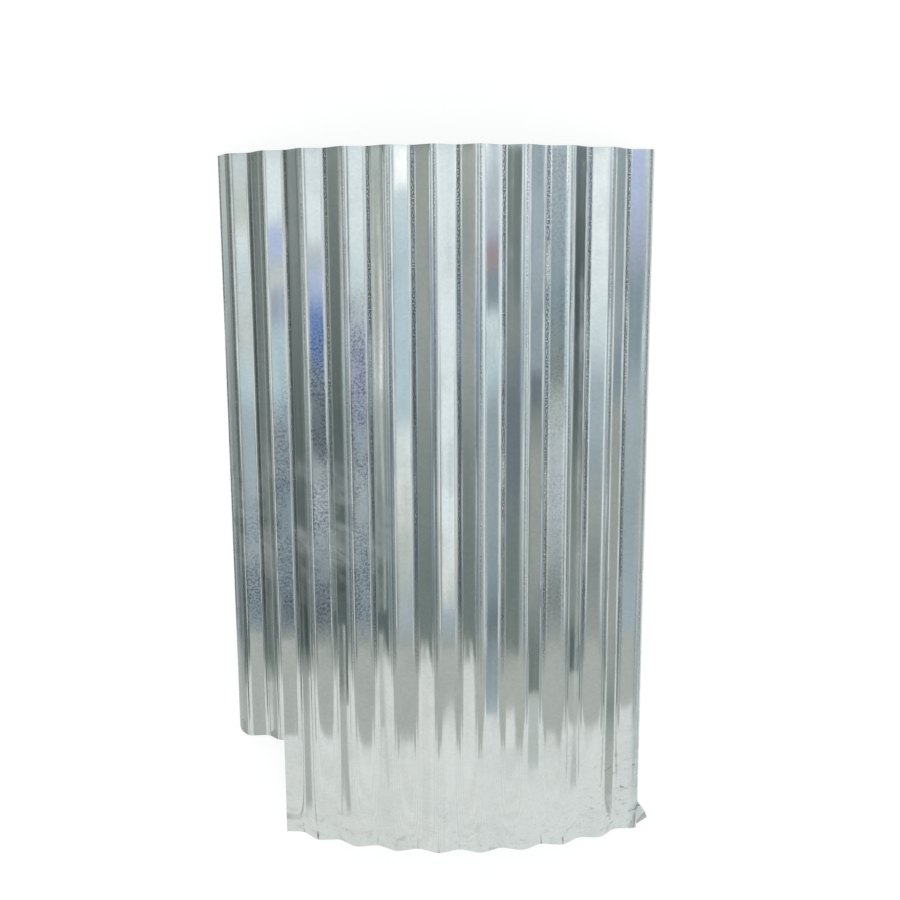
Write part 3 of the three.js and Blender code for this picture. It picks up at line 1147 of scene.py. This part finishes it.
# %% Paint and hang the cards
CARD_STEPS = 90
CARD_COLUMNS = 9
CARD_MARGIN = 0.0005
CARD_HALF = HALF_PITCH / 2 - BEND_REACH + CARD_MARGIN
CARD_FLAME = {"L5": 0.07, "L6": 0.06, "L7": 0.06}
FLAME_POWER = 6
# Height of a ripple, and how fast it turns with the share, the column and the flank's place.
RIPPLES = ((0.003, 0.0, 1.15, 31.0), (0.002, 70.0, 2.0, 0.0))


def card_material():
    """Paint that glows with the colour stored on each point."""
    material, tree = new_material("card")
    paint = node(tree, "ShaderNodeVertexColor", layer_name="paint").outputs["Color"]
    glow = node(tree, "ShaderNodeEmission", Color=paint, Strength=1.0)
    node(tree, "ShaderNodeOutputMaterial", glow.outputs[0])
    material.cycles.emission_sampling = "NONE"
    return material


CARD = card_material()


def painted_grid(name, spots, count):
    """A card from rows of spots, each a point and its tone, with count spots in a row."""
    faces = []
    for row in range(len(spots) // count - 1):
        for k in range(row * count, row * count + count - 1):
            faces.append((k, k + 1, k + 1 + count, k + count))
    mesh = bpy.data.meshes.new(name)
    mesh.from_pydata([tuple(point) for point, _ in spots], [], faces)
    paint = mesh.color_attributes.new("paint", "FLOAT_COLOR", "POINT")
    for stored, (_, tone) in zip(paint.data, spots):
        stored.color = (*tone, 1.0)
    mesh.materials.append(CARD)
    made = in_scene(name, mesh)
    made.visible_camera = False
    made.visible_diffuse = False
    made.visible_shadow = False
    made.visible_transmission = False
    made.visible_volume_scatter = False
    return made


def flank_middle(name):
    """Distance across the sheet to the middle of a named flank."""
    side = -1 if name[0] == "L" else 1
    return (int(name[1:]) - 1) * PITCH + HALF_PITCH + side * PITCH / 4


def hang_card(name, zones):
    """A strip that fills one flank's reflection. A flame is how much further its sides reach."""
    middle = flank_middle(name)
    flame = CARD_FLAME.get(name, 0.0)
    longest = zones[0][-1]
    spots = []
    for share in np.linspace(0, longest, CARD_STEPS + 1):
        for column, offset in enumerate(np.linspace(-CARD_HALF, CARD_HALF, CARD_COLUMNS)):
            ripple = sum(h * math.sin(a * share + b * column + c * middle) for h, a, b, c in RIPPLES)
            longer = 1 + flame * (offset / CARD_HALF) ** 2 * (share / longest) ** FLAME_POWER
            point = mirrored(middle + offset, LENGTH * (1 - share * longer))
            spots.append((point, tone_at(zones, share + ripple)))
    return painted_grid("card_" + name, spots, CARD_COLUMNS)


cards = [hang_card(name, zones) for name, zones in CARDS.items()]
print(len(cards), "cards hung")

# %% [markdown]
# ## The room behind the cards
#
# A bend is a small mirror that takes in half the room, squeezed into a few millimetres. So the
# bends' fine dark and white lines come from broad things further off: a dark side to the left, a
# light side above and to the right, and a few bright strips between. The room is a tunnel of
# paint three metres off, with one row of stops for its far part and one for its near part.

# %% The room
ROOM_RADIUS = 3.0
ROOM_END = 1.6
ROOM_SPAN = 0.56
ROOM_ROWS = 25
ROOM_ANGLES = np.arange(-100, 100.3, 0.4)
FAR_SHARE = 0.34
NEAR_SHARE = 0.46
LOWEST = 0.001
# Degrees from straight up towards the sheet's right edge, and the paint that stands there.
ROOM_FAR = painted(
    ("dusk", -135), ("shade", -95, -78), ("dusk", -74, -70), ("shade", -66, -34), ("white", -30, -27),
    ("pale", -25, -2), ("haze", 4, 8), ("pale", 11, 54), ("glare", 57, 60), ("steel", 64),
    ("slate", 72), ("mist", 79), ("slate", 84), ("iron", 98), ("steel", 112), ("dusk", 135),
)
ROOM_NEAR = painted(
    ("dusk", -135), ("shade", -95, -78), ("olive", -74, -70), ("shade", -66), ("dark", -34),
    ("pale", -30, -27), ("olive", -25), ("dusk", -5), ("warm", 40), ("dusk", 54), ("white", 57, 60),
    ("olive", 63, 80), ("dusk", 84), ("olive", 88), ("dusk", 112, 135),
)


def room_tone(degrees, share):
    """The room's tone in a direction, at a share of the way down the sheet."""
    blend = float(np.clip((share - FAR_SHARE) / (NEAR_SHARE - FAR_SHARE), 0, 1))
    return tone_at(ROOM_FAR, degrees) * (1 - blend) + tone_at(ROOM_NEAR, degrees) * blend


def arch_point(degrees, radius, y):
    """A point of an arch round the sheet, never below the floor."""
    angle = math.radians(degrees)
    return (radius * math.sin(angle), y, max(ARCH_HEIGHT + radius * math.cos(angle), LOWEST))


def build_room():
    """The tunnel of paint, from the far end of the room to the end card."""
    spots = []
    for degrees in ROOM_ANGLES:
        for share in np.linspace(0, 1, ROOM_ROWS):
            point = arch_point(degrees, ROOM_RADIUS, ROOM_END + (END_CARD - ROOM_END) * share)
            spots.append((point, room_tone(degrees, ROOM_SPAN * share)))
    return painted_grid("room", spots, ROOM_ROWS)


build_room()
print("room is up")

# %% [markdown]
# The floor is white for the camera, but the flanks at the two long edges look down past it. Dark
# mats, seen only in reflections, lie beside the sheet where the floor would glare in them.

# %% Floor mats
MAT_HEIGHT = 0.0015
MAT_NEAR = 0.3905
MAT_FAR = 3.0


def lay_mat(name, side, paint):
    """A mat on the floor beside one long edge of the sheet."""
    points = [(side * x, y, MAT_HEIGHT) for x in (MAT_NEAR, MAT_FAR) for y in (END_CARD, ROOM_END)]
    return painted_grid(name, [(point, PAINTS[paint]) for point in points], 2)


mats = [lay_mat("mat_left", -1, "dusk"), lay_mat("mat_right", 1, "warm")]
print(len(mats), "mats laid")

# %% [markdown]
# Two thin cards stand nearer the sheet. A narrow tapered strip crosses the fifth left flank, and
# the bends to its left show it again as a thin bright line. A low pale board beside the right
# edge lights only the lip of the last crest.

# %% The strip and the board
STRIP_NEARER = 0.97
STRIP_LENGTH = 0.635
STRIP_ROWS = 40
STRIP_LEFT = (-0.0025, 0.0035)
STRIP_RIGHT = 0.0088
STRIP_ZONES = painted(("silver", 0, 0.08), ("cream", 0.18), ("snow", 0.31), ("silver", 0.34))
BOARD_X = 0.45
BOARD_Z = (0.022, 0.040)


def hang_strip(name):
    """A bright strip a little nearer than one flank's card, narrowing down its length."""
    middle = flank_middle(name)
    spots = []
    for share in np.linspace(0, STRIP_LENGTH, STRIP_ROWS):
        narrowed = (share / STRIP_LENGTH) ** 2
        left = STRIP_LEFT[0] + (STRIP_LEFT[1] - STRIP_LEFT[0]) * narrowed
        for offset in (left, STRIP_RIGHT):
            place = (middle + offset, LENGTH * (1 - share))
            point, _ = turned_look(*place)
            point = point + (mirrored(*place) - point) * STRIP_NEARER
            spots.append((point, tone_at(STRIP_ZONES, share)))
    return painted_grid("strip_" + name, spots, 2)


def stand_board():
    """A low pale board that faces the lip at the right edge."""
    points = [(BOARD_X, y, z) for y in (END_CARD, LENGTH / 2) for z in BOARD_Z]
    return painted_grid("edge_board", [(point, PAINTS["white"]) for point in points], 2)


near_cards = [hang_strip("L5"), stand_board()]
print(len(near_cards), "near cards stand")

# %% [markdown]
# ## The floor in front of a standing sheet
#
# The last third of the sheet mirrors a lit floor: white close by, then a neutral grey. On a
# standing sheet that floor meets the cut end. So a painted wall stands at the cut end here, and
# its rings are the floor's. How far the white reaches differs with direction, and where it
# reaches far in a narrow direction, one flank shows a white spike that tapers to a point.

# %% The end card
# Degrees, and how far the white reaches in that direction, in metres.
WHITE_REACH = [
    (-100, 1.00), (-97, 1.08), (-86, 1.04), (-74, 1.06), (-68, 1.08), (-60, 0.96), (-51, 1.10), (-44, 0.86),
    (-38, 0.90), (-33, 1.04), (-30, 0.86), (-26, 0.60), (-22, 0.47), (-19, 0.45), (-14, 0.52), (-9, 0.61),
    (-5, 0.52), (1, 0.40), (12, 0.42), (19, 0.49), (27, 0.44), (34, 0.48), (40, 0.57), (49, 0.66),
    (53, 0.73), (58, 0.84), (62, 0.74), (67, 0.69), (74, 0.74), (79, 0.86), (86, 0.86), (89, 0.80),
    (95, 0.76), (100, 0.95),
]
# The sheet's own shade on that floor: from and to in degrees, its nearest reach and its paint.
SHADE_BANDS = [
    (-99.5, -93.5, 0.33, "warm"), (-86.5, -82.5, 0.26, "warm"), (-69.8, -68.8, 0.30, "silver"),
    (79.0, 86.0, 0.47, "silver"), (95.5, 97.5, 0.44, "warm"),
]
GREY_REACH = 1.16
# Half the width of the soft border of the white, and of the grey. A shade's border is on one side.
WHITE_SOFT = 0.015
GREY_SOFT = 0.06
SHADE_SOFT = 0.05
# The white leans cool and warm by turns, and settles past the last of these degrees.
COOL_MIDDLE = -7.0
COOL_TURN = 18.6
COOL_DEGREES = (-60, -50, 50, 60)
COOL_LEFT = 0.3
COOL_RIGHT = 0.7
END_CARD_RADIUS = 3.0
END_ANGLES = np.arange(-125, 125.3, 0.4)
RINGS = np.concatenate([np.linspace(0.0, 1.4, 71), np.linspace(1.5, END_CARD_RADIUS, 8)])


def end_tone(degrees, ring):
    """The end card's tone in a direction, at a distance from its foot."""
    white_reach = np.interp(degrees, *zip(*WHITE_REACH))
    grey_reach = max(GREY_REACH, white_reach)
    white_part = np.clip((white_reach + WHITE_SOFT - ring) / (2 * WHITE_SOFT), 0, 1)
    grey_part = np.clip((grey_reach + GREY_SOFT - ring) / (2 * GREY_SOFT), 0, 1)
    tone = np.array(PAINTS["warm"]) * grey_part + tone_at(ROOM_NEAR, degrees) * (1 - grey_part)
    cool = 0.5 + 0.5 * math.cos(math.tau * (degrees - COOL_MIDDLE) / COOL_TURN)
    cool = float(np.interp(degrees, COOL_DEGREES, [COOL_LEFT, cool, cool, COOL_RIGHT]))
    near = np.array(PAINTS["milk"]) * cool + np.array(PAINTS["linen"]) * (1 - cool)
    for start, stop, nearest, paint in SHADE_BANDS:
        if start <= degrees <= stop:
            shaded = np.clip((ring - nearest) / SHADE_SOFT, 0, 1)
            near = np.array(PAINTS[paint]) * shaded + near * (1 - shaded)
    return near * white_part + tone * (1 - white_part)


def build_end_card():
    """A fan of rings round the foot of the end card."""
    spots = []
    for degrees in END_ANGLES:
        for ring in RINGS:
            spots.append((arch_point(degrees, ring, END_CARD), end_tone(degrees, ring)))
    return painted_grid("end_card", spots, len(RINGS))


build_end_card()
print("end card is up")

# %% [markdown]
# The first two right flanks look through the white spikes' directions, but they should stay grey
# down to the cut. So a small grey flag hangs close above each of them, near enough that no other
# flank sees it.

# %% Grey flags
FLAGS = {"R1": 0.125, "R2": 0.14}
FLAG_FROM = 0.696
FLAG_TO = {"R1": 0.87, "R2": 0.845}
FLAG_ROWS = 12


def hang_flag(name, reach):
    """A small grey card a set distance out along one flank's turned look."""
    spots = []
    for share in np.linspace(FLAG_FROM, FLAG_TO[name], FLAG_ROWS):
        for offset in (-CARD_HALF, 0.0, CARD_HALF):
            point, turned = turned_look(flank_middle(name) + offset, LENGTH * (1 - share))
            spots.append((point + turned * reach, PAINTS["warm"]))
    return painted_grid("flag_" + name, spots, 3)


flags = [hang_flag(name, reach) for name, reach in FLAGS.items()]
print(len(flags), "flags hung")
